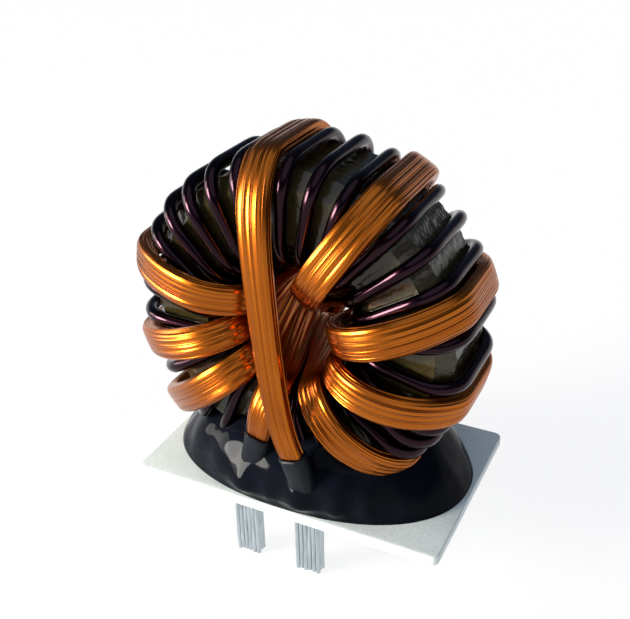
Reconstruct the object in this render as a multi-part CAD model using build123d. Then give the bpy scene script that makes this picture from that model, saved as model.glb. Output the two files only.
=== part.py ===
from build123d import *
import math
import os

# Welding transformer: a ring core that stands on its rim on a small board, with a primary of
# enamelled round wire, two secondaries of flat strand bundles, and resin that bonds it to the board.
# Millimetres. The origin is the centre of the board's underside, +X runs along the board,
# -Y is the front and +Z is up. The ring's axis is parallel to Y.

# Ring core and the tape wrapped over it
core_outer_diameter = 47.0
core_inner_diameter = 24.0
core_height = 16.0
core_edge_chamfer = 2.0
tape_thickness = 0.4

# Primary: one round wire, wound round the whole ring
wire_diameter = 2.0
wire_section_sides = 12
layer_clearance = 0.05

# Secondaries: flat bundles that lie over the primary
strip_width = 5.0
strip_thickness = 2.4
bundle_edge_chamfer = 0.5
strip_bend_radius = 5.0
hub_bend_radius = 3.5
strip_side_clearance = 0.1
top_slack = 1.1
right_slack = 0.6
left_slack = 1.3
loose_slack = 3.3
corner_drop = 1.1
shoulder_inset = 3.1
shoulder_rise = 0.3
crest_run = 3.8
crest_rise = 1.4
hub_clearance = 0.9
hub_side_clearance = 0.25
cross_clearance = 0.25

# Board
board_length = 51.0
board_width = 32.5
board_thickness = 1.6
board_corner_radius = 1.2

# Place of the ring above the board
ring_gap = 1.3
ring_forward = 1.65

# Lead ends that pass through the board
lead_end_width = 4.2
lead_end_thickness = 2.2
lead_length = 10.6
lead_hole_clearance = 0.15
front_lead_margin = 2.4
back_lead_margin = 2.85
lead_a_start_x = -6.4
lead_a_finish_x = 4.2
lead_b_start_x = -16.0
lead_b_finish_x = -4.5
lead_primary_start_x = 14.0
lead_primary_finish_x = 6.0
sleeve_wall = 0.5
sleeve_height_share = 0.393
primary_start_run = 1.9
primary_finish_rise = 4.5
lead_bend = 1.2
lead_turn_run = 3.5

# Resin between the ring and the board
resin_end_margin = 0.7
resin_side_margin = 0.35
resin_wall_height = 2.4
resin_height = 8.0
resin_shoulder_inset = 1.2
resin_crown_inset = 6.0
resin_lean = 0.6
resin_clearance = 0.1

# Angles about the ring's axis, in degrees from +X towards +Z. Each strip has one where it enters the
# hole and one where it passes the rim, and the primary has a number of turns in each gap between strips.
strip_2_angles = (66.0, 58.5)
strip_3_angles = (14.0, 18.0)
strip_4_angles = (-24.0, -17.0)
strip_5_angles = (-62.0, -50.0)
strip_6_hub_angle = -101.0
strip_7_angles = (-140.0, -141.0)
strip_8_angles = (-180.0, -165.0)
strip_9_angles = (-220.0, -197.0)
strip_1_angles = (-261.2, -261.2)
strip_b_finish_hub_angle = -100.5
hub_spacing_angle = 38.0
turns_in_gaps = (3, 1, 2, 5, 3, 3, 2, 3, 4)

# Taped ring
taped_outer_radius = core_outer_diameter / 2 + tape_thickness
taped_inner_radius = core_inner_diameter / 2 - tape_thickness
taped_half_height = core_height / 2 + tape_thickness
tape_edge_chamfer = core_edge_chamfer + (2 - math.sqrt(2)) * tape_thickness

# Primary wire: centre line round the taped ring, with its corners cut at 45 degrees
wire_radius = wire_diameter / 2
wire_lift = wire_radius + layer_clearance
wire_rim_radius = taped_outer_radius + wire_lift
wire_hole_radius = taped_inner_radius - wire_lift
wire_face = taped_half_height + wire_lift
wire_bend = tape_edge_chamfer + (2 - math.sqrt(2)) * wire_lift
wire_top = wire_face + wire_radius

# Strip centre line round the primary: distance from the ring's axis and from its middle plane
strip_lift = strip_thickness / 2 + layer_clearance
strip_corner_face = taped_half_height - corner_drop
strip_rim_end = strip_corner_face / 2
shoulder_rho = taped_outer_radius - shoulder_inset
shoulder_face = wire_top + strip_lift + shoulder_rise
hub_radius = wire_hole_radius - wire_radius - hub_clearance - strip_thickness / 2
hub_face = taped_half_height + wire_diameter
hub_end_face = hub_face - hub_bend_radius - layer_clearance
crest_face = wire_top + strip_lift + crest_rise
cross_face = crest_face + strip_thickness + cross_clearance
hub_inner_radius = hub_radius - strip_thickness / 2
hub_width = 2 * hub_inner_radius * math.sin(math.radians(hub_spacing_angle / 2)) - hub_side_clearance

# Each whole turn by number: its angle in the hole, its angle at the rim and its distance there. The turns
# on the right hug the ring, the others stand off it, and the one at the lower left hangs loose.
top_rim = taped_outer_radius + top_slack + strip_lift
right_rim = taped_outer_radius + right_slack + strip_lift
left_rim = taped_outer_radius + left_slack + strip_lift
loose_rim = taped_outer_radius + loose_slack + strip_lift
strips = {
    1: (*strip_1_angles, top_rim),
    2: (*strip_2_angles, right_rim),
    3: (*strip_3_angles, right_rim),
    4: (*strip_4_angles, right_rim),
    5: (*strip_5_angles, right_rim),
    7: (*strip_7_angles, loose_rim),
    8: (*strip_8_angles, left_rim),
    9: (*strip_9_angles, left_rim),
}

# Heights and rows on the board
ring_y = -ring_forward
ring_z = board_thickness + ring_gap + wire_rim_radius + wire_radius
front_row_y = front_lead_margin - board_width / 2
back_row_y = board_width / 2 - back_lead_margin
sleeve_height = sleeve_height_share * (ring_z - board_thickness)


def ring_point(radius, angle, axial):
    turn = math.radians(angle)
    return Vector(radius * math.cos(turn), ring_y + axial, ring_z + radius * math.sin(turn))


def ring_solid(outer_radius, inner_radius, half_height, edge):
    profile = Polyline(
        (inner_radius, edge - half_height),
        (inner_radius + edge, -half_height),
        (outer_radius - edge, -half_height),
        (outer_radius, edge - half_height),
        (outer_radius, half_height - edge),
        (outer_radius - edge, half_height),
        (inner_radius + edge, half_height),
        (inner_radius, half_height - edge),
        close=True,
    )
    return Pos(0, ring_y, ring_z) * revolve(make_face(profile), Axis.Y)


def ring_core():
    return ring_solid(core_outer_diameter / 2, core_inner_diameter / 2, core_height / 2, core_edge_chamfer)


def core_tape():
    return ring_solid(taped_outer_radius, taped_inner_radius, taped_half_height, tape_edge_chamfer) - ring_core()


def strip_span(number, back):
    # The lowest and the highest angle of a strip's middle between its shoulder and the rim.
    hub_angle, rim_angle, rim = strips[number]
    shoulder = turn_plane(number).from_local_coords(Vector(shoulder_rho, 0, 0))
    drift = math.degrees(math.atan2(shoulder.Z - ring_z, shoulder.X)) - rim_angle
    drift -= 360 * round(drift / 360)
    return rim_angle - back + min(drift, 0), rim_angle - back + max(drift, 0)


def primary_rim_angles():
    # The turns of each gap are spread evenly, clear of the strips on both sides. The gaps follow one
    # another from strip 6 round to strip 6, and the winding starts with the last gap's last turn.
    lead = (strip_6_hub_angle, strip_6_hub_angle)
    spans = [lead] + [strip_span(number, 0) for number in (7, 8, 9, 1)]
    spans += [strip_span(number, 360) for number in (2, 3, 4, 5)] + [(lead[0] - 360, lead[1] - 360)]
    reach = strip_width / 2 + wire_radius + strip_side_clearance
    margin = math.degrees(reach / shoulder_rho)
    angles = []
    for here, there, turns in zip(spans, spans[1:], turns_in_gaps):
        first, last = here[0] - margin, there[1] + margin
        step = (last - first) / max(turns - 1, 1)
        start = first if turns > 1 else (first + last) / 2
        angles += [start + step * number for number in range(turns)]
    return [angles[-1] + 360] + angles[:-1]


def primary_path():
    rim_angles = primary_rim_angles()
    hub_step = 360 / len(rim_angles)
    middle = sum(rim_angles) / len(rim_angles)
    first_hub = middle + hub_step * (len(rim_angles) - 1) / 2

    # The start comes up through the board, runs along it behind the ring and under the rim.
    rim_start = ring_point(wire_rim_radius, rim_angles[0], wire_top + wire_radius)
    foot = Vector(lead_primary_start_x, back_row_y, 0)
    turn = Vector(lead_primary_start_x - lead_turn_run, rim_start.Y + primary_start_run, rim_start.Z)
    bend = Vector(foot.X, foot.Y, rim_start.Z)
    bend_run = (turn - bend).normalized() * lead_bend
    points = [foot, bend - Vector(0, 0, lead_bend), bend + bend_run, turn, rim_start]

    for number, rim_angle in enumerate(rim_angles):
        hub_angle = first_hub - hub_step * number
        if number > 0:
            points.append(ring_point(wire_hole_radius + wire_bend, hub_angle, wire_face))
            points.append(ring_point(wire_rim_radius - wire_bend, rim_angle, wire_face))
            points.append(ring_point(wire_rim_radius, rim_angle, wire_face - wire_bend))
        points.append(ring_point(wire_rim_radius, rim_angle, wire_bend - wire_face))
        points.append(ring_point(wire_rim_radius - wire_bend, rim_angle, -wire_face))
        points.append(ring_point(wire_hole_radius + wire_bend, hub_angle, -wire_face))
        points.append(ring_point(wire_hole_radius, hub_angle, wire_bend - wire_face))
        points.append(ring_point(wire_hole_radius, hub_angle - hub_step, wire_face - wire_bend))

    # The finish leaves the hole at the back and goes down to the board.
    last_hub = first_hub - hub_step * len(rim_angles)
    points.append(ring_point(wire_hole_radius + wire_bend, last_hub, wire_face))
    points.append(ring_point(shoulder_rho, rim_angles[0], wire_face))
    points.append(Vector(lead_primary_finish_x, back_row_y, board_thickness + primary_finish_rise))
    points.append(Vector(lead_primary_finish_x, back_row_y, 0))
    return points


def round_wire(points, radius):
    start = Plane(origin=points[0], z_dir=points[1] - points[0])
    section = start * RegularPolygon(radius, wire_section_sides)
    return sweep(section, path=Polyline(points), transition=Transition.RIGHT)


def strip_plane(hub_point, far_point):
    # A plane that holds the ring's axis direction and both points, with its x outwards from the hub.
    outwards = Vector(far_point.X - hub_point.X, 0, far_point.Z - hub_point.Z).normalized()
    across = outwards.cross(Vector(0, 1, 0))
    centre = Vector(0, ring_y, ring_z)
    offset = (hub_point - centre).dot(across)
    return Plane(origin=centre + across * offset, x_dir=outwards, z_dir=across)


def turn_plane(number):
    hub_angle, rim_angle, rim = strips[number]
    return strip_plane(ring_point(hub_radius, hub_angle, 0), ring_point(rim, rim_angle, 0))


def hub_rho(plane):
    offset = (plane.origin - Vector(0, ring_y, ring_z)).length
    return math.sqrt(hub_radius ** 2 - offset ** 2)


def flat_section(width, thickness, grow):
    # A flat bundle's section with its corners cut, grown all round by the wall of what covers it.
    section = Rectangle(width + 2 * grow, thickness + 2 * grow)
    return chamfer(section.vertices(), bundle_edge_chamfer + grow / 2)


def band(plane, points, bends, plan, grow=0):
    # A strip that follows points in its plane, with a bend at each, cut to a plan of distance and half width.
    path = plane * FilletPolyline(points, radius=bends)
    start = Plane(origin=path @ 0, x_dir=plane.z_dir, z_dir=path % 0)
    strip = sweep(start * flat_section(strip_width, strip_thickness, grow), path=path)
    outline = [(rho, half + grow) for rho, half in plan]
    outline += [(rho, -half - grow) for rho, half in reversed(plan)]
    top = Plane(origin=plane.origin, x_dir=plane.x_dir, z_dir=Vector(0, 1, 0))
    return strip & extrude(top * make_face(Polyline(outline, close=True)), cross_face * 2, both=True)


def section_place(plane, rho, axial):
    place = plane.from_local_coords(Vector(rho, axial, 0))
    return Plane(origin=place, x_dir=plane.x_dir, z_dir=Vector(0, 1, 0))


def half_turn(number, side, grow=0):
    # From the rim over one face into the hole; side is -1 at the front and 1 at the back.
    plane = turn_plane(number)
    rim = strips[number][2]
    near = hub_rho(plane)
    points = [
        (rim, side * strip_rim_end),
        (rim, side * strip_corner_face),
        (shoulder_rho, side * shoulder_face),
        (near + crest_run, side * crest_face),
        (near, side * hub_face),
        (near, side * hub_end_face),
    ]
    bends = (strip_bend_radius, strip_bend_radius, hub_bend_radius, hub_bend_radius)
    plan = [(0, hub_width / 2), (near + crest_run, hub_width / 2), (shoulder_rho, strip_width / 2),
            (rim + strip_thickness, strip_width / 2)]
    return band(plane, points, bends, plan, grow)


def rim_run(front_plane, back_plane, rim, grow=0):
    section = flat_section(strip_thickness, strip_width, grow)
    front = section_place(front_plane, rim, -strip_rim_end) * section
    back = section_place(back_plane, rim, strip_rim_end) * section
    return loft([front, back], ruled=True)


def whole_turn(number, grow=0):
    plane = turn_plane(number)
    turn = half_turn(number, 1, grow) + rim_run(plane, plane, strips[number][2], grow)
    return turn + half_turn(number, -1, grow)


def hole_run(front_plane, back_plane):
    section = Rectangle(strip_thickness, hub_width)
    front = section_place(front_plane, hub_rho(front_plane), -hub_end_face) * section
    back = section_place(back_plane, hub_rho(back_plane), hub_end_face) * section
    return loft([front, back], ruled=True)


def short_lead_end(plane):
    top = board_thickness + sleeve_height
    return (ring_z - top) / -plane.x_dir.Z


def short_lead(plane, side):
    near = hub_rho(plane)
    far = short_lead_end(plane)
    points = [
        (near, side * hub_end_face),
        (near, side * hub_face),
        (near + crest_run, side * crest_face),
        (far, side * (shoulder_face + cross_clearance)),
    ]
    plan = [(0, hub_width / 2), (near + crest_run, hub_width / 2), (far, lead_end_width / 2),
            (far + strip_thickness, lead_end_width / 2)]
    return band(plane, points, (hub_bend_radius, hub_bend_radius), plan)


def cross_lead_end(plane):
    top = board_thickness + sleeve_height
    return (top - ring_z) / plane.x_dir.Z


def cross_lead(plane, side, rim):
    # From the rim over the face, across the hole outside the other strips and down to the sleeve.
    near = hub_radius + crest_run
    far = cross_lead_end(plane)
    points = [
        (rim, side * strip_rim_end),
        (rim, side * strip_corner_face),
        (shoulder_rho, side * shoulder_face),
        (near, side * (crest_face + cross_clearance)),
        (-near, side * cross_face),
        (far, side * (cross_face - strip_lift)),
    ]
    plan = [(far - strip_thickness, lead_end_width / 2), (far, lead_end_width / 2),
            (shoulder_rho, strip_width / 2), (rim + strip_thickness, strip_width / 2)]
    return band(plane, points, strip_bend_radius, plan)


def lead_end_section(plane, rho, axial, along, width, grow):
    place = plane.from_local_coords(Vector(rho, axial, 0))
    return Plane(origin=place, x_dir=plane.z_dir, z_dir=along) * flat_section(width, strip_thickness, grow)


def foot_section(x, y, across, grow):
    place = Plane(origin=(x, y, board_thickness), x_dir=across, z_dir=(0, 0, -1))
    return place * flat_section(lead_end_width, lead_end_thickness, grow)


def lead_tail(plane, side, points, width, x, y, grow):
    # The lead's last stretch, from its end above the board to its slot.
    (rho_1, axial_1), (rho_2, axial_2) = points
    before = plane.from_local_coords(Vector(rho_1, side * axial_1, 0))
    after = plane.from_local_coords(Vector(rho_2, side * axial_2, 0))
    across = Vector(1, 0, 0) if plane.z_dir.X > 0 else Vector(-1, 0, 0)
    top = lead_end_section(plane, rho_2, side * axial_2, after - before, width, grow)
    return loft([top, foot_section(x, y, across, grow)], ruled=True)


def short_tail(plane, side, x, y, grow):
    near = hub_rho(plane) + crest_run
    points = ((near, crest_face), (short_lead_end(plane), shoulder_face + cross_clearance))
    return lead_tail(plane, side, points, lead_end_width, x, y, grow)


def cross_tail(plane, side, x, y, grow):
    near = hub_radius + crest_run
    points = ((-near, cross_face), (cross_lead_end(plane), cross_face - strip_lift))
    return lead_tail(plane, side, points, lead_end_width, x, y, grow)


def through_board(x, y, grow=0):
    section = flat_section(lead_end_width, lead_end_thickness, grow)
    return Pos(x, y, 0) * extrude(section, board_thickness)


def lead_foot(x, y):
    return Vector(x, y, board_thickness)


plane_a_finish = strip_plane(lead_foot(lead_a_finish_x, front_row_y), ring_point(top_rim, strip_1_angles[1], 0))
plane_a_start = strip_plane(ring_point(hub_radius, strip_6_hub_angle, 0), lead_foot(lead_a_start_x, front_row_y))
plane_b_start = strip_plane(lead_foot(lead_b_start_x, back_row_y), ring_point(right_rim, strip_2_angles[1], 0))
plane_b_finish = strip_plane(
    ring_point(hub_radius, strip_b_finish_hub_angle, 0), lead_foot(lead_b_finish_x, back_row_y))


def secondary_winding_a():
    winding = short_lead(plane_a_start, -1)
    winding += short_tail(plane_a_start, -1, lead_a_start_x, front_row_y, 0)
    winding += through_board(lead_a_start_x, front_row_y)
    before = plane_a_start
    for number in (7, 8, 9):
        winding += hole_run(before, turn_plane(number)) + whole_turn(number)
        before = turn_plane(number)
    winding += hole_run(before, turn_plane(1))
    winding += half_turn(1, 1) + rim_run(plane_a_finish, turn_plane(1), top_rim)
    winding += cross_lead(plane_a_finish, -1, top_rim)
    winding += cross_tail(plane_a_finish, -1, lead_a_finish_x, front_row_y, 0)
    winding += through_board(lead_a_finish_x, front_row_y)
    return winding


def secondary_winding_b():
    winding = cross_lead(plane_b_start, 1, right_rim)
    winding += cross_tail(plane_b_start, 1, lead_b_start_x, back_row_y, 0)
    winding += through_board(lead_b_start_x, back_row_y)
    winding += rim_run(turn_plane(2), plane_b_start, right_rim) + half_turn(2, -1)
    before = turn_plane(2)
    for number in (3, 4, 5):
        winding += hole_run(before, turn_plane(number)) + whole_turn(number)
        before = turn_plane(number)
    winding += hole_run(before, plane_b_finish)
    winding += short_lead(plane_b_finish, 1)
    winding += short_tail(plane_b_finish, 1, lead_b_finish_x, back_row_y, 0)
    winding += through_board(lead_b_finish_x, back_row_y)
    return winding


def lead_sleeves():
    places = {
        "sleeve_a_start": (short_tail, plane_a_start, -1, lead_a_start_x, front_row_y),
        "sleeve_a_finish": (cross_tail, plane_a_finish, -1, lead_a_finish_x, front_row_y),
        "sleeve_b_start": (cross_tail, plane_b_start, 1, lead_b_start_x, back_row_y),
        "sleeve_b_finish": (short_tail, plane_b_finish, 1, lead_b_finish_x, back_row_y),
    }
    return {name: tail(*place, sleeve_wall) - tail(*place, 0) for name, (tail, *place) in places.items()}


flat_leads = {
    "lead_end_a_start": (lead_a_start_x, front_row_y),
    "lead_end_a_finish": (lead_a_finish_x, front_row_y),
    "lead_end_b_start": (lead_b_start_x, back_row_y),
    "lead_end_b_finish": (lead_b_finish_x, back_row_y),
}
round_leads = {
    "lead_end_primary_start": (lead_primary_start_x, back_row_y),
    "lead_end_primary_finish": (lead_primary_finish_x, back_row_y),
}


def flat_lead_end(x, y):
    return Pos(x, y, -lead_length) * extrude(flat_section(lead_end_width, lead_end_thickness, 0), lead_length)


def round_lead_end(x, y):
    return Pos(x, y, -lead_length) * extrude(Circle(wire_radius), lead_length)


def base_board():
    board = extrude(RectangleRounded(board_length, board_width, board_corner_radius), board_thickness)
    for x, y in flat_leads.values():
        board -= through_board(x, y, lead_hole_clearance)
    for x, y in round_leads.values():
        board -= Pos(x, y, 0) * extrude(Circle(wire_radius + lead_hole_clearance), board_thickness)
    return board


def wound_ring_space():
    # The room that the primary takes on the ring, and the two strips that dip into the resin.
    space = ring_solid(
        wire_rim_radius + wire_radius + resin_clearance, wire_hole_radius, wire_top + resin_clearance, wire_bend)
    for number in (5, 7):
        space += whole_turn(number, resin_clearance)
    return space


def resin_base():
    half_length = board_length / 2 - resin_end_margin
    half_width = board_width / 2 - resin_side_margin
    levels = (
        (0, half_length, half_width),
        (resin_wall_height, half_length - resin_shoulder_inset, half_width - resin_lean / 2),
        (resin_height, half_length - resin_crown_inset, half_width - resin_lean),
    )
    outlines = [Pos(0, 0, board_thickness + rise) * Ellipse(long, short) for rise, long, short in levels]
    resin = loft(outlines[:2], ruled=True) + loft(outlines[1:], ruled=True)
    resin -= wound_ring_space()
    resin -= short_tail(plane_a_start, -1, lead_a_start_x, front_row_y, sleeve_wall)
    resin -= cross_tail(plane_a_finish, -1, lead_a_finish_x, front_row_y, sleeve_wall)
    resin -= cross_tail(plane_b_start, 1, lead_b_start_x, back_row_y, sleeve_wall)
    resin -= short_tail(plane_b_finish, 1, lead_b_finish_x, back_row_y, sleeve_wall)
    wire = primary_path()
    resin -= round_wire(wire[:6], wire_radius + resin_clearance)
    resin -= round_wire(wire[-4:], wire_radius + resin_clearance)
    return resin


nodes = {
    "base_board": base_board(),
    "ring_core": ring_core(),
    "core_tape": core_tape(),
    "primary_winding": round_wire(primary_path(), wire_radius),
    "secondary_winding_a": secondary_winding_a(),
    "secondary_winding_b": secondary_winding_b(),
    "resin_base": resin_base(),
}
nodes.update(lead_sleeves())
nodes.update({name: flat_lead_end(x, y) for name, (x, y) in flat_leads.items()})
nodes.update({name: round_lead_end(x, y) for name, (x, y) in round_leads.items()})

os.makedirs("parts", exist_ok=True)
for name, solid in nodes.items():
    export_step(solid, f"parts/{name}.step")
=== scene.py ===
import bmesh
import bpy
import math
import random
from mathutils import Matrix, Vector, noise


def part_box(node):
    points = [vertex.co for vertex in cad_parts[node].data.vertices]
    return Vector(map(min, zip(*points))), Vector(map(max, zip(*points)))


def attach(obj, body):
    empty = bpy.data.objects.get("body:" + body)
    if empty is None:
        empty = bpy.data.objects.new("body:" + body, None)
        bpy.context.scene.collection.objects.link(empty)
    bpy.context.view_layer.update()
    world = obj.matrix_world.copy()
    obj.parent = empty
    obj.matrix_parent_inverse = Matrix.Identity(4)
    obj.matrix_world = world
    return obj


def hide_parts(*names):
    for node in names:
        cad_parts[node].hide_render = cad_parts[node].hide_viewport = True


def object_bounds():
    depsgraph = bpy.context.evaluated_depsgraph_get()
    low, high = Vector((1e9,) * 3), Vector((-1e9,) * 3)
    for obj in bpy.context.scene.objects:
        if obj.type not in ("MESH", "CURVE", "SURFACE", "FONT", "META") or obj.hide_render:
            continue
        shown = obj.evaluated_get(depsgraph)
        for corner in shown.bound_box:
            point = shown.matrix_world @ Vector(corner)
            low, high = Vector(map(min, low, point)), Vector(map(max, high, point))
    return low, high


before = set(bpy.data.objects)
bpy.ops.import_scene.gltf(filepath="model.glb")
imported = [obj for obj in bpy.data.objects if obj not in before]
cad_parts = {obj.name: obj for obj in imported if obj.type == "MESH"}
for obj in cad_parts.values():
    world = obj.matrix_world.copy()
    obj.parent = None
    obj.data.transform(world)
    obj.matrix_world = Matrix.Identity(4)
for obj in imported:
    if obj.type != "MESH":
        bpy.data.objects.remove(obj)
cad_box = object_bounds()


# Ring core: a ring of pressed magnetic powder, dark grey, that stands on its rim.
# The tape covers it all over, so its solid stays as it is and only gets its finish.
mm = 0.001


def linear(colour):
    # An sRGB hex colour as the linear values that a shader takes.
    parts = [int(colour[place:place + 2], 16) / 255 for place in (1, 3, 5)]
    return [part / 12.92 if part <= 0.04045 else ((part + 0.055) / 1.055) ** 2.4 for part in parts] + [1]


def add(tree, kind, inputs, **settings):
    # Adds a node with its settings, and with a link or a value for each input named.
    made = tree.nodes.new(kind)
    for name, value in settings.items():
        setattr(made, name, value)
    for name, value in inputs.items():
        if isinstance(value, bpy.types.NodeSocket):
            tree.links.new(value, made.inputs[name])
        else:
            made.inputs[name].default_value = value
    return made


def start_material(name, values):
    # A new material, its node tree and its shader, with the values that hold all over the surface.
    made = bpy.data.materials.new(name)
    made.use_nodes = True
    shader = made.node_tree.nodes["Principled BSDF"]
    for socket, value in values.items():
        shader.inputs[socket].default_value = value
    return made, made.node_tree, shader


def clouds(tree, place, size, detail=2):
    # Soft noise with lumps of about the size given.
    made = add(tree, "ShaderNodeTexNoise", {"Vector": place, "Scale": 1 / size, "Detail": detail})
    return made.outputs["Fac"]


def blend(tree, share, first, second):
    # A colour between two sRGB hex colours.
    made = add(tree, "ShaderNodeMix", {0: share, 6: linear(first), 7: linear(second)}, data_type="RGBA")
    return made.outputs[2]


# Pressed iron powder: dull dark grey, with paler grains.
core_grain = 0.4 * mm
core_finish, tree, shader = start_material("pressed iron powder", {"Roughness": 0.65, "Metallic": 0.3})
place = add(tree, "ShaderNodeTexCoord", {}).outputs["Object"]
grains = clouds(tree, place, core_grain)
tree.links.new(blend(tree, grains, "#26272a", "#57595d"), shader.inputs["Base Color"])
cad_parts["ring_core"].data.materials.clear()
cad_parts["ring_core"].data.materials.append(core_finish)


# Core tape: olive film tape, wound round the ring's section in overlapping wraps.
# Each wrap ends in a small step where the next one begins, so the ring is finely stepped all round.
tape_low, tape_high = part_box("core_tape")
ring_centre = (tape_low + tape_high) / 2
taped_outer = (tape_high.x - tape_low.x) / 2
taped_half = (tape_high.y - tape_low.y) / 2
taped_inner = 11.6 * mm
tape_edge = 2.23 * mm
wrap_count = 64
wrap_columns = 4
wrap_step = 0.14 * mm
wrap_phase = 0.01


def finish_piece(name, mesh, material, slot, *nodes):
    # Makes an object of a mesh, which stands for the nodes named and moves with the part.
    mesh.shade_smooth()
    mesh.set_sharp_from_angle(angle=math.radians(40))
    mesh.materials.append(material)
    thing = bpy.data.objects.new(name, mesh)
    bpy.context.scene.collection.objects.link(thing)
    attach(thing, "root")
    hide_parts(*nodes)


def mesh_of(name, shape):
    # The mesh of a finished bmesh, with its faces turned outwards.
    bmesh.ops.recalc_face_normals(shape, faces=shape.faces)
    mesh = bpy.data.meshes.new(name)
    shape.to_mesh(mesh)
    shape.free()
    return mesh


shape = bmesh.new()
profile = [
    (taped_inner, tape_edge - taped_half), (taped_inner + tape_edge, -taped_half),
    (taped_outer - tape_edge, -taped_half), (taped_outer, tape_edge - taped_half),
    (taped_outer, taped_half - tape_edge), (taped_outer - tape_edge, taped_half),
    (taped_inner + tape_edge, taped_half), (taped_inner, taped_half - tape_edge),
]
corners = [shape.verts.new(ring_centre + Vector((radius, axial, 0))) for radius, axial in profile]
edges = [shape.edges.new((corners[number - 1], corners[number])) for number in range(len(corners))]
bmesh.ops.spin(shape, geom=corners + edges, cent=ring_centre, axis=(0, 1, 0), angle=2 * math.pi,
               steps=wrap_count * wrap_columns, use_merge=True)
section_middle = (taped_outer + taped_inner) / 2
section_half = (taped_outer - taped_inner) / 2
for vert in shape.verts:
    out = vert.co - ring_centre
    turn = math.atan2(out.z, out.x) / (2 * math.pi) * wrap_count + wrap_phase
    sunk = 1 - wrap_step / section_half * (turn % 1)
    radial = Vector((out.x, 0, out.z))
    radius = section_middle + (radial.length - section_middle) * sunk
    vert.co = ring_centre + radial.normalized() * radius + Vector((0, out.y * sunk, 0))

# Polyester film tape: olive amber, clear enough to look deep, and glossy.
tape_cloud = 6 * mm
tape_crease = 1.5 * mm
tape_relief = 0.25 * mm
tape_finish, tree, shader = start_material("polyester film tape", {
    "Coat Weight": 0.4, "Coat Roughness": 0.08, "Specular IOR Level": 0.2})
place = add(tree, "ShaderNodeTexCoord", {}).outputs["Object"]
cloud = clouds(tree, place, tape_cloud, 4)
tree.links.new(blend(tree, cloud, "#15120a", "#41371a"), shader.inputs["Base Color"])
gloss = add(tree, "ShaderNodeMapRange", {"Value": cloud, "To Min": 0.18, "To Max": 0.4}).outputs[0]
tree.links.new(gloss, shader.inputs["Roughness"])
crease = clouds(tree, place, tape_crease)
bump = add(tree, "ShaderNodeBump", {"Height": crease, "Strength": 0.8, "Distance": tape_relief}).outputs[0]
tree.links.new(bump, shader.inputs["Normal"])
tree.links.new(bump, shader.inputs["Coat Normal"])
finish_piece("taped_ring", mesh_of("taped_ring", shape), tape_finish, "tape", "core_tape")


# Primary winding: one round copper wire in dark enamel, wound by hand round the whole ring.
# Its turns leave gaps where the flat secondaries pass, and its ends go down through the board.
wire_radius = 1.0 * mm
layer = 0.05 * mm
wire_lift = wire_radius + layer
wire_rim = taped_outer + wire_lift
wire_hole = taped_inner - wire_lift
wire_face = taped_half + wire_lift
wire_bend = tape_edge + (2 - math.sqrt(2)) * wire_lift
wire_reach = 3.4 * mm
wire_play = 0.12 * mm
wire_slack = 0.5 * mm
slack_lean_share = 0.7
slack_play_share = 0.2
wire_gap = 0.1 * mm
start_aside = 3.5 * mm
start_back = 1.9 * mm
finish_rise = 4.5 * mm
strip_width = 5.0 * mm
strip_thickness = 2.4 * mm
# The strips have numbers round the ring. Each stands off the ring by its slack, in mm.
strip_slack = {1: 1.0, 2: 1.1, 3: 0.6, 4: 0.6, 5: 0.6, 6: 0.6, 7: 3.3, 8: 1.4, 9: 1.4}
shoulder_rho = taped_outer - 3.1 * mm
gap_rho = shoulder_rho + 2 * mm
hub_gap = 0.9 * mm
hub_radius = wire_hole - wire_radius - hub_gap - strip_thickness / 2
# Each strip's angle at the hub and at the rim, in degrees.
strip_angles = {
    1: (-261.2, -261.2), 2: (66, 58.5), 3: (14, 18), 4: (-24, -17), 5: (-62, -50),
    6: (-101, -101), 7: (-140, -141), 8: (-180, -165), 9: (-220, -197),
}
gap_order = (6, 7, 8, 9, 1, 2, 3, 4, 5, 6)
turns_in_gaps = (3, 1, 2, 5, 3, 3, 2, 3, 4)
board_low, board_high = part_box("base_board")
start_low, start_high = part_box("lead_end_primary_start")
finish_low, finish_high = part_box("lead_end_primary_finish")
primary_start = (start_low + start_high) / 2
primary_finish = (finish_low + finish_high) / 2


def ring_point(radius, angle, axial):
    turn = math.radians(angle)
    return ring_centre + Vector((radius * math.cos(turn), axial, radius * math.sin(turn)))


def strip_plane(hub_point, far_point):
    # The plane that a strip runs in: a point under the ring's middle, outwards, and across the strip.
    outwards = Vector((far_point.x - hub_point.x, 0, far_point.z - hub_point.z)).normalized()
    across = outwards.cross(Vector((0, 1, 0)))
    return ring_centre + across * (hub_point - ring_centre).dot(across), outwards, across


def strip_rim(number):
    # The distance of a strip's middle line from the ring's axis at the rim.
    return taped_outer + strip_slack[number] * mm + strip_thickness / 2 + layer


def turn_plane(number):
    hub_angle, rim_angle = strip_angles[number]
    return strip_plane(ring_point(hub_radius, hub_angle, 0), ring_point(strip_rim(number), rim_angle, 0))


def strip_span(number, back):
    # The lowest and the highest angle of a strip's middle between its shoulder and the rim.
    middle, outwards, across = turn_plane(number)
    shoulder = middle + outwards * shoulder_rho - ring_centre
    rim_angle = strip_angles[number][1]
    drift = math.degrees(math.atan2(shoulder.z, shoulder.x)) - rim_angle
    drift -= 360 * round(drift / 360)
    return rim_angle - back + min(drift, 0), rim_angle - back + max(drift, 0)


def primary_rim_angles():
    # The turns of each gap are spread evenly between the strips on both sides.
    margin = math.degrees((strip_width / 2 + wire_radius + wire_gap) / gap_rho)
    angles = []
    spans = [strip_span(number, 360 if order > 4 else 0) for order, number in enumerate(gap_order)]
    for here, there, turns in zip(spans, spans[1:], turns_in_gaps):
        first, last = here[0] - margin, there[1] + margin
        step = (last - first) / max(turns - 1, 1)
        start = first if turns > 1 else (first + last) / 2
        angles += [start + step * number for number in range(turns)]
    return [angles[-1] + 360] + angles[:-1]


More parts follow.
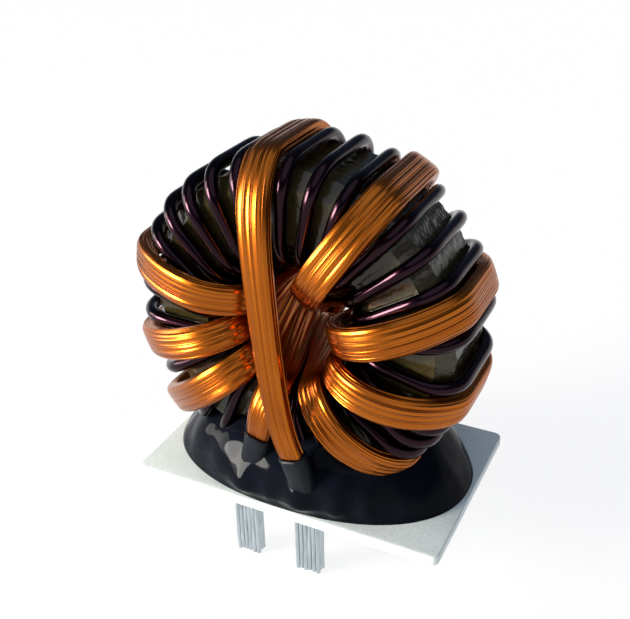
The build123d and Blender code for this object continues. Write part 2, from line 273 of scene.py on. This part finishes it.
def primary_path():
    # The corners of the wire's run, from its start at the board through all turns to its finish there.
    chance = random.Random(4)
    rim_angles = primary_rim_angles()
    hub_step = 360 / len(rim_angles)
    first_hub = sum(rim_angles) / len(rim_angles) + hub_step * (len(rim_angles) - 1) / 2
    rim_start = ring_point(wire_rim, rim_angles[0], wire_face + 2 * wire_radius)
    foot = Vector((primary_start.x, primary_start.y, 0))
    bend = Vector((foot.x, foot.y, rim_start.z))
    turn = Vector((foot.x - start_aside, rim_start.y + start_back, rim_start.z))
    points = [foot, bend, turn, rim_start]
    for number, angle in enumerate(rim_angles):
        rim_angle = angle + math.degrees(chance.uniform(-wire_play, wire_play) / wire_rim)
        hub_angle = first_hub - hub_step * number
        # The turns stand off the ring a little, most of all on the left.
        loose = wire_slack * (1 - slack_lean_share * math.cos(math.radians(rim_angle)))
        rim = wire_rim + loose * chance.uniform(1 - slack_play_share, 1 + slack_play_share)
        hole = wire_hole - wire_slack
        if number > 0:
            points.append(ring_point(hole + wire_bend, hub_angle, wire_face))
            points.append(ring_point(rim - wire_bend, rim_angle, wire_face))
            points.append(ring_point(rim, rim_angle, wire_face - wire_bend))
        points.append(ring_point(rim, rim_angle, wire_bend - wire_face))
        points.append(ring_point(rim - wire_bend, rim_angle, -wire_face))
        points.append(ring_point(hole + wire_bend, hub_angle, -wire_face))
        points.append(ring_point(hole, hub_angle, wire_bend - wire_face))
        points.append(ring_point(hole, hub_angle - hub_step, wire_face - wire_bend))
    last_hub = first_hub - hub_step * len(rim_angles)
    points.append(ring_point(wire_hole + wire_bend, last_hub, wire_face))
    points.append(ring_point(shoulder_rho, rim_angles[0], wire_face))
    points.append(Vector((primary_finish.x, primary_finish.y, board_high.z + finish_rise)))
    points.append(Vector((primary_finish.x, primary_finish.y, 0)))
    return points


def held_straight(points, reach):
    # Adds points near each corner, so that a smooth curve rounds the corner and keeps the runs straight.
    held = [points[0]]
    for here, there in zip(points, points[1:]):
        run = there - here
        if run.length > 2 * reach:
            held += [here + run.normalized() * reach, there - run.normalized() * reach]
        held.append(there)
    return held


def tubes(name, paths, radius, roundness, steps):
    # The mesh of round tubes along smooth curves, with their ends closed.
    curve = bpy.data.curves.new(name, "CURVE")
    curve.dimensions = "3D"
    curve.bevel_depth = radius
    curve.bevel_resolution = roundness
    curve.resolution_u = steps
    curve.use_fill_caps = True
    for path in paths:
        spline = curve.splines.new("NURBS")
        spline.points.add(len(path) - 1)
        for point, where in zip(spline.points, path):
            point.co = (*where, 1)
        spline.order_u = 4
        spline.use_endpoint_u = True
    bent = bpy.data.objects.new(name, curve)
    bpy.context.scene.collection.objects.link(bent)
    mesh = bpy.data.meshes.new_from_object(bent.evaluated_get(bpy.context.evaluated_depsgraph_get()))
    bpy.data.objects.remove(bent)
    mesh.name = name
    return mesh


# Dark wire enamel over copper: nearly black with a purple-red depth, under a clear glossy skin.
enamel_cloud = 3 * mm
enamel_finish, tree, shader = start_material("dark wire enamel", {
    "Metallic": 1.0, "Roughness": 0.2, "Coat Weight": 0.15, "Coat Roughness": 0.05})
place = add(tree, "ShaderNodeTexCoord", {}).outputs["Object"]
cloud = clouds(tree, place, enamel_cloud, 3)
tree.links.new(blend(tree, cloud, "#170a10", "#2c141e"), shader.inputs["Base Color"])
wire_path = held_straight(primary_path(), wire_reach)
primary = tubes("primary_wire", [wire_path], wire_radius, roundness=5, steps=4)
finish_piece("primary_wire", primary, enamel_finish, "enamel", "primary_winding")


# Secondary windings: two flat bundles of fine enamelled copper strands, laid by hand over the primary.
# Each bundle lies flat on the faces, narrows at the front of the hole and ends in two sleeves.
strand_radius = 0.33 * mm
strand_pitch = 0.26 * mm
strand_play = 0.04 * mm
strand_wave = 9 * mm
section_squareness = 0.5
seat_steps = 720
wire_top = wire_face + wire_radius
strip_lift = strip_thickness / 2 + layer
hugging_turns = (3, 4, 5)
hugging_corner = taped_half - 2.0 * mm
rim_corner = taped_half - 0.9 * mm
shoulder_face = wire_top + strip_lift + 0.2 * mm
crest_run = 3.8 * mm
arch_run = 6.0 * mm
arch_face = wire_top + strip_lift + 2.2 * mm
crest_face = wire_top + strip_lift + 1.9 * mm
hub_face = taped_half + 2 * wire_radius
hub_end = hub_face - 3.5 * mm - layer
cross_clearance = 0.25 * mm
cross_bow = 1.2 * mm
cross_face = crest_face + strip_thickness + cross_clearance
hub_width = {-1: 4.6 * mm, 1: 5.6 * mm}
lead_width = 3.6 * mm
b_finish_angle = -100.5
sleeve_top_share = 0.393
sleeve_top = board_high.z + sleeve_top_share * (ring_centre.z - board_high.z)
through_shares = (0, 0.4, 0.7, 1)


def lead_foot(name):
    low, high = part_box("lead_end_" + name)
    return Vector(((low.x + high.x) / 2, (low.y + high.y) / 2, board_high.z))


def stations(plane, places):
    # Points on a strip's middle line, each with the direction across the strip and its width there.
    middle, outwards, across = plane
    return [(middle + outwards * rho + Vector((0, axial, 0)), across, width) for rho, axial, width in places]


def hub_rho(plane):
    return math.sqrt(hub_radius ** 2 - (plane[0] - ring_centre).length_squared)


def half_turn(number, side):
    # From the rim over one face into the hole; side is -1 at the front and 1 at the back.
    plane = turn_plane(number)
    near = hub_rho(plane)
    rim = strip_rim(number)
    corner = hugging_corner if number in hugging_turns else rim_corner
    return stations(plane, [
        (rim, side * corner / 2, strip_width), (rim, side * corner, strip_width),
        (shoulder_rho, side * shoulder_face, strip_width), (near + arch_run, side * arch_face, strip_width),
        (near, side * hub_face, hub_width[side]), (near, side * hub_end, hub_width[side])])


def tail(lead, foot, bow=0):
    # Adds the lead's last stretch, down to the board and upright through it, after a bow to one side.
    mouth, across, width = lead[-1]
    mouth = mouth + Vector((bow, 0, 0))
    lead[-1] = (mouth, across, width)
    level = Vector((math.copysign(1, across.x), 0, 0))
    lead.append(((mouth + foot) / 2, (across + level) / 2, lead_width))
    lead += [(foot - Vector((0, 0, board_high.z * share)), level, lead_width) for share in through_shares]
    return lead


def short_lead(plane, side, foot):
    # Out of the hole and straight down to the board.
    near = hub_rho(plane)
    far = (ring_centre.z - sleeve_top) / -plane[1].z
    return tail(stations(plane, [
        (near, side * hub_end, hub_width[side]), (near, side * hub_face, hub_width[side]),
        (near + crest_run, side * crest_face, hub_width[side]),
        (far, side * (shoulder_face + cross_clearance), lead_width)]), foot)


def cross_lead(plane, side, rim, foot):
    # From the rim over the face, across the hole outside the other turns and down to the board.
    near = hub_radius + crest_run
    far = (sleeve_top - ring_centre.z) / plane[1].z
    return tail(stations(plane, [
        (rim, side * rim_corner / 2, strip_width), (rim, side * rim_corner, strip_width),
        (shoulder_rho, side * shoulder_face, strip_width),
        (near, side * (crest_face + cross_clearance), (strip_width + lead_width) / 2),
        (-near, side * cross_face, lead_width),
        (far, side * (cross_face - strip_lift), lead_width)]), foot, cross_bow)


feet = {name: lead_foot(name) for name in ("a_start", "a_finish", "b_start", "b_finish")}
plane_a_start = strip_plane(ring_point(hub_radius, strip_angles[6][0], 0), feet["a_start"])
plane_a_finish = strip_plane(feet["a_finish"], ring_point(strip_rim(1), strip_angles[1][1], 0))
plane_b_start = strip_plane(feet["b_start"], ring_point(strip_rim(2), strip_angles[2][1], 0))
plane_b_finish = strip_plane(ring_point(hub_radius, b_finish_angle, 0), feet["b_finish"])


def whole_turn(number):
    # Out of the hole at the back, round the rim and into the hole at the front.
    return half_turn(number, 1)[::-1] + half_turn(number, -1)


path_a = short_lead(plane_a_start, -1, feet["a_start"])[::-1]
path_a += whole_turn(7) + whole_turn(8) + whole_turn(9)
path_a += half_turn(1, 1)[::-1] + cross_lead(plane_a_finish, -1, strip_rim(1), feet["a_finish"])
path_b = cross_lead(plane_b_start, 1, strip_rim(2), feet["b_start"])[::-1] + half_turn(2, -1)
path_b += whole_turn(3) + whole_turn(4) + whole_turn(5)
path_b += short_lead(plane_b_finish, 1, feet["b_finish"])


def bundle_frames(path):
    # For each station its point, the directions across and out of the bundle, its width and its run so far.
    frames = []
    run = 0
    for number, (point, across, width) in enumerate(path):
        before = path[max(number - 1, 0)][0]
        after = path[min(number + 1, len(path) - 1)][0]
        along = (after - before).normalized()
        level = (across - along * across.dot(along)).normalized()
        run += (point - before).length
        frames.append((point, level, along.cross(level), width, run))
    return frames


def drawn_square(value):
    # A place on a unit circle, drawn out towards the corners of a flat section.
    return math.copysign(abs(value) ** section_squareness, value)


def strand_seats(width, thickness, pitch):
    # Seats for strands at even steps round a rounded flat section, as shares of its half sizes.
    turns = [2 * math.pi * number / seat_steps for number in range(seat_steps + 1)]
    bent = [Vector((drawn_square(math.cos(turn)) * width / 2, drawn_square(math.sin(turn)) * thickness / 2))
            for turn in turns]
    length = sum((there - here).length for here, there in zip(bent, bent[1:]))
    count = round(length / pitch)
    seats = []
    walked = 0
    for here, there in zip(bent, bent[1:]):
        if walked >= len(seats) * length / count and len(seats) < count:
            seats.append((here.x / (width / 2), here.y / (thickness / 2)))
        walked += (there - here).length
    return seats


def strand_path(frames, seat, chance):
    # One strand keeps its seat in the bundle and wanders a little to both sides.
    phases = [chance.uniform(0, 2 * math.pi) for _ in range(4)]
    points = []
    for point, across, out, width, run in frames:
        turn = 2 * math.pi * run / strand_wave
        side = math.sin(turn + phases[0]) + 0.6 * math.sin(1.7 * turn + phases[1])
        lift = math.sin(1.3 * turn + phases[2]) + 0.6 * math.sin(2.1 * turn + phases[3])
        points.append(point + across * (seat[0] * (width / 2 - strand_radius) + side * strand_play)
                      + out * (seat[1] * (strip_thickness / 2 - strand_radius) + lift * strand_play / 3))
    return points


def strand_bundle(name, path, seed):
    chance = random.Random(seed)
    frames = bundle_frames(path)
    seats = strand_seats(strip_width - 2 * strand_radius, strip_thickness - 2 * strand_radius, strand_pitch)
    mesh = tubes(name, [strand_path(frames, seat, chance) for seat in seats], strand_radius,
                 roundness=1, steps=6)
    # Each strand has its own shade, which the finish reads.
    shades = [chance.random() for _ in seats]
    each = len(mesh.vertices) // len(seats)
    tint = mesh.attributes.new("strand", "FLOAT", "POINT")
    strand_of = [min(number // each, len(seats) - 1) for number in range(len(mesh.vertices))]
    tint.data.foreach_set("value", [shades[strand] for strand in strand_of])
    return mesh


# Enamelled copper strands: bright orange metal under a thin amber varnish, each strand a little different.
copper_cloud = 5 * mm
copper_finish, tree, shader = start_material("varnished copper strands", {
    "Metallic": 1.0, "Roughness": 0.27, "Coat Weight": 0.1, "Coat Roughness": 0.15})
shade = add(tree, "ShaderNodeAttribute", {}, attribute_name="strand").outputs["Fac"]
place = add(tree, "ShaderNodeTexCoord", {}).outputs["Object"]
cloud = clouds(tree, place, copper_cloud, 3)
mixed = add(tree, "ShaderNodeMath", {0: shade, 1: cloud}, operation="ADD").outputs[0]
share = add(tree, "ShaderNodeMapRange", {"Value": mixed, "From Min": -0.4, "From Max": 2.2}).outputs[0]
tree.links.new(blend(tree, share, "#7a3209", "#c06d1c"), shader.inputs["Base Color"])
finish_piece("strand_bundle_a", strand_bundle("strand_bundle_a", path_a, 11), copper_finish, "copper",
             "secondary_winding_a")
finish_piece("strand_bundle_b", strand_bundle("strand_bundle_b", path_b, 12), copper_finish, "copper",
             "secondary_winding_b")


# Lead sleeves: soft black tubes pushed over the ends of the flat bundles, down to the board.
# They are pressed flat by the bundle inside and cut off level where they stand on the board.
sleeve_wall = 0.4 * mm
sleeve_sides = 32
sleeve_rings = 12
sleeve_overrun = 0.9 * mm
mouth_stations = 6.15
foot_step = 0.01


def sleeve_loop(shape, middle, across, along, inside, grown):
    # A loop of the sleeve's long round section, square to its run and wider than the bundle inside.
    thickness = strip_thickness + grown
    out = along.cross(across).normalized()
    turned = Matrix((across, out, along)).transposed().to_4x4()
    loop = bmesh.ops.create_circle(shape, segments=sleeve_sides, radius=thickness / 2)["verts"]
    for vert in loop:
        vert.co.x += math.copysign((inside + grown - thickness) / 2, vert.co.x)
    bmesh.ops.transform(shape, matrix=Matrix.Translation(middle) @ turned, verts=loop)
    return loop


def loop_edges(shape, loop):
    # The edges that join the vertices of a loop.
    members = set(loop)
    return [edge for edge in shape.edges if edge.verts[0] in members and edge.verts[1] in members]


def on_curve(frames, where):
    # The bundle's smooth curve at a place counted in stations: its point, across, along and width.
    first = int(where)
    step = where - first
    weights = ((1 - step) ** 3, 3 * step ** 3 - 6 * step ** 2 + 4,
               1 + 3 * step + 3 * step ** 2 - 3 * step ** 3, step ** 3)
    slopes = (-(1 - step) ** 2, 3 * step ** 2 - 4 * step, 1 + 2 * step - 3 * step ** 2, step ** 2)
    near = frames[first - 1:first + 3]
    point = sum((each[0] * weight for each, weight in zip(near, weights)), Vector()) / 6
    across = sum((each[1] * weight for each, weight in zip(near, weights)), Vector())
    along = sum((each[0] * slope for each, slope in zip(near, slopes)), Vector()).normalized()
    width = sum(each[3] * weight for each, weight in zip(near, weights)) / 6
    return point, (across - along * across.dot(along)).normalized(), along, width


def lead_sleeve(path):
    # The sleeve starts near the lead's sixth station from its end and is cut level with the board's top.
    frames = bundle_frames(path)
    mouth = len(frames) - mouth_stations
    foot = mouth + 2
    while on_curve(frames, foot)[0].z > board_high.z - sleeve_overrun:
        foot += foot_step
    shape = bmesh.new()
    loops = []
    for number in range(sleeve_rings):
        middle, side, along, wide = on_curve(frames, mouth + (foot - mouth) * number / (sleeve_rings - 1))
        if number == 0:
            loops.append(sleeve_loop(shape, middle + along * sleeve_wall, side, along, wide, 0))
            loops.append(sleeve_loop(shape, middle, side, along, wide, sleeve_wall))
            middle = middle + along * sleeve_wall / 2
        loops.append(sleeve_loop(shape, middle, side, along, wide, 2 * sleeve_wall))
    rings = [loop_edges(shape, loop) for loop in loops]
    for upper, lower in zip(rings, rings[1:]):
        bmesh.ops.bridge_loops(shape, edges=upper + lower)
    bmesh.ops.contextual_create(shape, geom=rings[0])
    cut = bmesh.ops.bisect_plane(shape, geom=shape.verts[:] + shape.edges[:] + shape.faces[:],
                                 plane_co=board_high, plane_no=(0, 0, -1), clear_outer=True)["geom_cut"]
    bmesh.ops.contextual_create(shape, geom=[part for part in cut if isinstance(part, bmesh.types.BMEdge)])
    return shape


# Black insulating sleeve: dull slate black, a little uneven where it is pressed flat.
sleeve_cloud = 1.2 * mm
sleeve_relief = 0.1 * mm
sleeve_finish, tree, shader = start_material("black insulating sleeve", {
    "Roughness": 0.38, "Specular IOR Level": 0.1})
place = add(tree, "ShaderNodeTexCoord", {}).outputs["Object"]
cloud = clouds(tree, place, sleeve_cloud)
tree.links.new(blend(tree, cloud, "#090b0f", "#141920"), shader.inputs["Base Color"])
bump = add(tree, "ShaderNodeBump", {"Height": cloud, "Strength": 0.2, "Distance": sleeve_relief}).outputs[0]
tree.links.new(bump, shader.inputs["Normal"])
leads = {"a_start": path_a[::-1], "a_finish": path_a, "b_start": path_b[::-1], "b_finish": path_b}
for name, path in leads.items():
    mesh = mesh_of("tube_" + name, lead_sleeve(path))
    finish_piece("tube_" + name, mesh, sleeve_finish, "sleeve", "sleeve_" + name)


# Base board: pale fibre board, cut out with a small radius at each corner and slotted for the leads.
# Its outer edges are worn round, so the board is a copy of its solid with those edges broken.
worn_edge = 0.22 * mm
corner_reach = 2 * mm
weld = 0.002 * mm
rim_depth = 0.01 * mm


def at_outline(vert):
    # Whether a corner of the mesh lies on the board's outline and not on a slot.
    return abs(vert.co.x) > board_high.x - corner_reach or abs(vert.co.y) > board_high.y - rim_depth


shape = bmesh.new()
shape.from_mesh(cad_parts["base_board"].data)
bmesh.ops.remove_doubles(shape, verts=shape.verts, dist=weld)
bmesh.ops.dissolve_limit(shape, angle_limit=math.radians(1), verts=shape.verts, edges=shape.edges)
outline = [edge for edge in shape.edges if edge.calc_face_angle(0) > 1 and all(map(at_outline, edge.verts))]
bmesh.ops.bevel(shape, geom=outline, offset=worn_edge, offset_type="OFFSET", affect="EDGES", segments=3,
                profile=0.5, material=-1)

# Pale fibre board: off-white with a green-grey cast, faintly clouded, with a fine grain of fibres.
board_cloud = 7 * mm
board_fibre = 0.35 * mm
fibre_relief = 0.05 * mm
board_finish, tree, shader = start_material("pale fibre board", {"Roughness": 0.5})
place = add(tree, "ShaderNodeTexCoord", {}).outputs["Object"]
cloud = clouds(tree, place, board_cloud, 6)
fibre = clouds(tree, place, board_fibre)
share = add(tree, "ShaderNodeMath", {0: cloud, 1: fibre}, operation="MULTIPLY").outputs[0]
share = add(tree, "ShaderNodeMapRange", {"Value": share, "From Min": 0.1, "From Max": 0.45}).outputs[0]
tree.links.new(blend(tree, share, "#c3ccc6", "#dde4df"), shader.inputs["Base Color"])
bump = add(tree, "ShaderNodeBump", {"Height": fibre, "Strength": 0.15, "Distance": fibre_relief}).outputs[0]
tree.links.new(bump, shader.inputs["Normal"])
finish_piece("worn_board", mesh_of("worn_board", shape), board_finish, "board", "base_board")


# Lead ends: the flat bundles below the board, tinned so that their strands hold together.
# The two round ones at the back are the tinned ends of the primary wire.
tinned_radius = 0.36 * mm
tinned_columns = 6
tinned_rows = 3
tinned_play = 0.06 * mm
tinned_ragged = 0.4 * mm
tinned_steps = 5
tip_round = 0.25 * mm
tip_sides = 28


def in_row(low, high, number, count):
    # The middle of one strand in a row that fills the stretch from low to high.
    return low + tinned_radius + (high - low - 2 * tinned_radius) * number / (count - 1)


def tinned_bundle(name, seed):
    chance = random.Random(seed)
    low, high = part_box("lead_end_" + name)
    paths = []
    for column in range(tinned_columns):
        for row in range(tinned_rows):
            across = in_row(low.x, high.x, column, tinned_columns)
            deep = in_row(low.y, high.y, row, tinned_rows)
            end = low.z + layer + (chance.uniform(0, tinned_ragged) if column + row else 0)
            heights = [high.z + (end - high.z) * step / tinned_steps for step in range(tinned_steps + 1)]
            paths.append([Vector((across + chance.uniform(-tinned_play, tinned_play),
                                  deep + chance.uniform(-tinned_play, tinned_play), height))
                          for height in heights])
    # No strand leaves the bundle's outline.
    for path in paths:
        for point in path:
            point.x = min(max(point.x, low.x + tinned_radius), high.x - tinned_radius)
            point.y = min(max(point.y, low.y + tinned_radius), high.y - tinned_radius)
    return tubes("tinned_" + name, paths, tinned_radius, roundness=3, steps=3)


# Tinned copper: grey, cool and half dull, with a skin of solder that runs along the strands.
tin_run = 0.5 * mm
tin_finish, tree, shader = start_material("tinned copper", {"Metallic": 1.0})
place = add(tree, "ShaderNodeTexCoord", {}).outputs["Object"]
drawn = add(tree, "ShaderNodeMapping", {"Vector": place, "Scale": (1, 1, 0.15)}).outputs[0]
runs = clouds(tree, drawn, tin_run, 4)
tree.links.new(blend(tree, runs, "#8b98a0", "#d5dde0"), shader.inputs["Base Color"])
gloss = add(tree, "ShaderNodeMapRange", {"Value": runs, "To Min": 0.25, "To Max": 0.5}).outputs[0]
tree.links.new(gloss, shader.inputs["Roughness"])
for seed, name in enumerate(leads):
    finish_piece("tinned_" + name, tinned_bundle(name, seed), tin_finish, "tin", "lead_end_" + name)
for name in ("primary_start", "primary_finish"):
    low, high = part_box("lead_end_" + name)
    shape = bmesh.new()
    bmesh.ops.create_cone(shape, cap_ends=True, segments=tip_sides, radius1=wire_radius, radius2=wire_radius,
                          depth=high.z - low.z, matrix=Matrix.Translation((low + high) / 2))
    tip = [edge for edge in shape.edges if all(vert.co.z < low.z + layer for vert in edge.verts)]
    bmesh.ops.bevel(shape, geom=tip, offset=tip_round, offset_type="OFFSET", affect="EDGES", segments=3,
                    profile=0.5, material=-1)
    finish_piece("tinned_" + name, mesh_of("tinned_" + name, shape), tin_finish, "tin", "lead_end_" + name)


# Resin base: black casting resin, poured between the ring and the board and left to set.
# It spreads to a long round pool, climbs the lower turns and hangs in soft folds between the leads.
resin_long = 24.85 * mm
resin_short = 15.92 * mm
resin_rise = 10.6 * mm
resin_rings = 26
resin_sides = 200
resin_fullness = 0.9
resin_skirt = 2 * mm
long_draw = 8.5 * mm
long_draw_power = 1.25
short_draw = 4.2 * mm
short_draw_power = 4.5
fold_size = 5.5 * mm
fold_depth = 0.55 * mm
fold_lean_share = 0.3
fine_fold_size = fold_size / 2.3
fine_fold_share = 0.2
climb_height = 3.0 * mm
# Each run up the front: its middle along the board, how far it stands out and its width, all in mm.
resin_runs = ((-6.4, 1.7, 2.9), (-1.2, 0.7, 1.3), (4.2, 1.7, 2.9), (9.4, 1.1, 1.5), (13.6, 0.8, 1.6))
shape = bmesh.new()
rings = []
for number in range(resin_rings):
    share = number / (resin_rings - 1)
    rise = resin_rise * share
    long = resin_long - long_draw * share ** long_draw_power
    short = resin_short - short_draw * share ** short_draw_power
    free = min(rise / resin_skirt, 1)
    loop = bmesh.ops.create_circle(shape, segments=resin_sides, radius=1)["verts"]
    for vert in loop:
        vert.co.x = math.copysign(abs(vert.co.x) ** resin_fullness, vert.co.x) * long
        vert.co.y = math.copysign(abs(vert.co.y) ** resin_fullness, vert.co.y) * short
        place = Vector((vert.co.x, vert.co.y, rise * fold_lean_share))
        fold = noise.noise(place / fold_size) + fine_fold_share * noise.noise(place / fine_fold_size)
        climb = sum(depth * math.exp(-((vert.co.x / mm - middle) / wide) ** 2)
                    for middle, depth, wide in resin_runs)
        climb *= math.exp(-((rise - climb_height) / climb_height) ** 2) * free * mm
        out = Vector((vert.co.x / long ** 2, vert.co.y / short ** 2, 0)).normalized()
        vert.co += out * fold * fold_depth * free
        vert.co.y -= climb if vert.co.y < 0 else 0
        vert.co.z = board_high.z + rise
    rings.append(loop_edges(shape, loop))
for lower, upper in zip(rings, rings[1:]):
    bmesh.ops.bridge_loops(shape, edges=lower + upper)
bmesh.ops.contextual_create(shape, geom=rings[0])
bmesh.ops.contextual_create(shape, geom=rings[-1])

# Black casting resin: deep black with a mirror gloss, broken by faint ripples.
resin_ripple = 4 * mm
ripple_relief = 0.5 * mm
resin_finish, tree, shader = start_material("black casting resin", {
    "Roughness": 0.08, "Specular IOR Level": 0.035})
place = add(tree, "ShaderNodeTexCoord", {}).outputs["Object"]
ripple = clouds(tree, place, resin_ripple, 1)
tree.links.new(blend(tree, ripple, "#06070a", "#0e1119"), shader.inputs["Base Color"])
bump = add(tree, "ShaderNodeBump", {"Height": ripple, "Strength": 0.2, "Distance": ripple_relief}).outputs[0]
tree.links.new(bump, shader.inputs["Normal"])
finish_piece("resin_pool", mesh_of("resin_pool", shape), resin_finish, "resin", "resin_base")


# Studio: a wide white floor under the lead ends, and a sky that is white low down and blue-grey above.
# The key lamp stands low at the front left, a softer one further left, and a cool one fills in from above.
floor_half = 4.0
floor_cloud = 0.25
floor_white_share = 0.85
sky_white_height = 0.06
sky_grey_height = 0.3
shape = bmesh.new()
bmesh.ops.create_grid(shape, x_segments=1, y_segments=1, size=floor_half,
                      matrix=Matrix.Translation((0, 0, cad_box[0].z)))
floor_finish, tree, shader = start_material("white studio floor", {"Roughness": 0.8})
place = add(tree, "ShaderNodeTexCoord", {}).outputs["Object"]
cloud = clouds(tree, place, floor_cloud)
tree.links.new(blend(tree, cloud, "#fbfbfb", "#ffffff"), shader.inputs["Base Color"])
# Seen directly or in a mirror, the floor is mostly plain white and keeps a soft share of the shadow.
rays = add(tree, "ShaderNodeLightPath", {}).outputs
seen = add(tree, "ShaderNodeMath", {0: rays["Is Camera Ray"], 1: rays["Is Glossy Ray"]},
           operation="MAXIMUM").outputs[0]
seen = add(tree, "ShaderNodeMath", {0: seen, 1: rays["Is Transmission Ray"]}, operation="MAXIMUM").outputs[0]
white_share = add(tree, "ShaderNodeMath", {0: seen, 1: floor_white_share}, operation="MULTIPLY").outputs[0]
white = add(tree, "ShaderNodeEmission", {"Strength": 1.0}).outputs[0]
floor_light = add(tree, "ShaderNodeMixShader", {0: white_share, 1: shader.outputs[0], 2: white}).outputs[0]
tree.links.new(floor_light, tree.nodes["Material Output"].inputs["Surface"])
mesh = mesh_of("floor", shape)
mesh.materials.append(floor_finish)
floor = bpy.data.objects.new("floor", mesh)
bpy.context.scene.collection.objects.link(floor)

sky = bpy.data.worlds.new("studio")
sky.use_nodes = True
tree = sky.node_tree
place = add(tree, "ShaderNodeTexCoord", {}).outputs["Generated"]
height = add(tree, "ShaderNodeSeparateXYZ", {"Vector": place}).outputs["Z"]
share = add(tree, "ShaderNodeMapRange", {
    "Value": height, "From Min": sky_white_height, "From Max": sky_grey_height}).outputs[0]
tree.links.new(blend(tree, share, "#ffffff", "#4d5d74"), tree.nodes["Background"].inputs["Color"])
bpy.context.scene.world = sky

# Each lamp: the way towards it, its strength, its spread in degrees and its colour.
lamps = {
    "key": (Vector((-0.7, -0.68, 0.22)), 8.0, 24, "#fffaf2"),
    "side": (Vector((-0.92, -0.37, 0.1)), 3.0, 36, "#fffaf2"),
    "fill": (Vector((0.2, -0.3, 1.0)), 0.9, 70, "#e3edff"),
}
for name, (towards, strength, spread, tint) in lamps.items():
    sun = bpy.data.lights.new(name, "SUN")
    sun.energy = strength
    sun.angle = math.radians(spread)
    sun.color = linear(tint)[:3]
    lamp = bpy.data.objects.new(name, sun)
    lamp.rotation_mode = "QUATERNION"
    lamp.rotation_quaternion = towards.to_track_quat("Z", "Y")
    bpy.context.scene.collection.objects.link(lamp)

camera_place = Vector((53.958, -109.004, 93.905)) * mm
camera_right = Vector((0.89733, 0.44095, -0.01895))
camera_up = Vector((-0.19573, 0.43604, 0.87838))
view = bpy.data.cameras.new("camera")
view.sensor_width = 36
view.lens = 52.264
view.clip_start = 0.005
camera = bpy.data.objects.new("camera", view)
camera.matrix_world = Matrix.Translation(camera_place) @ Matrix(
    (camera_right, camera_up, camera_right.cross(camera_up))).transposed().to_4x4()
bpy.context.scene.collection.objects.link(camera)
bpy.context.scene.camera = camera
bpy.context.scene.view_settings.view_transform = "Standard"
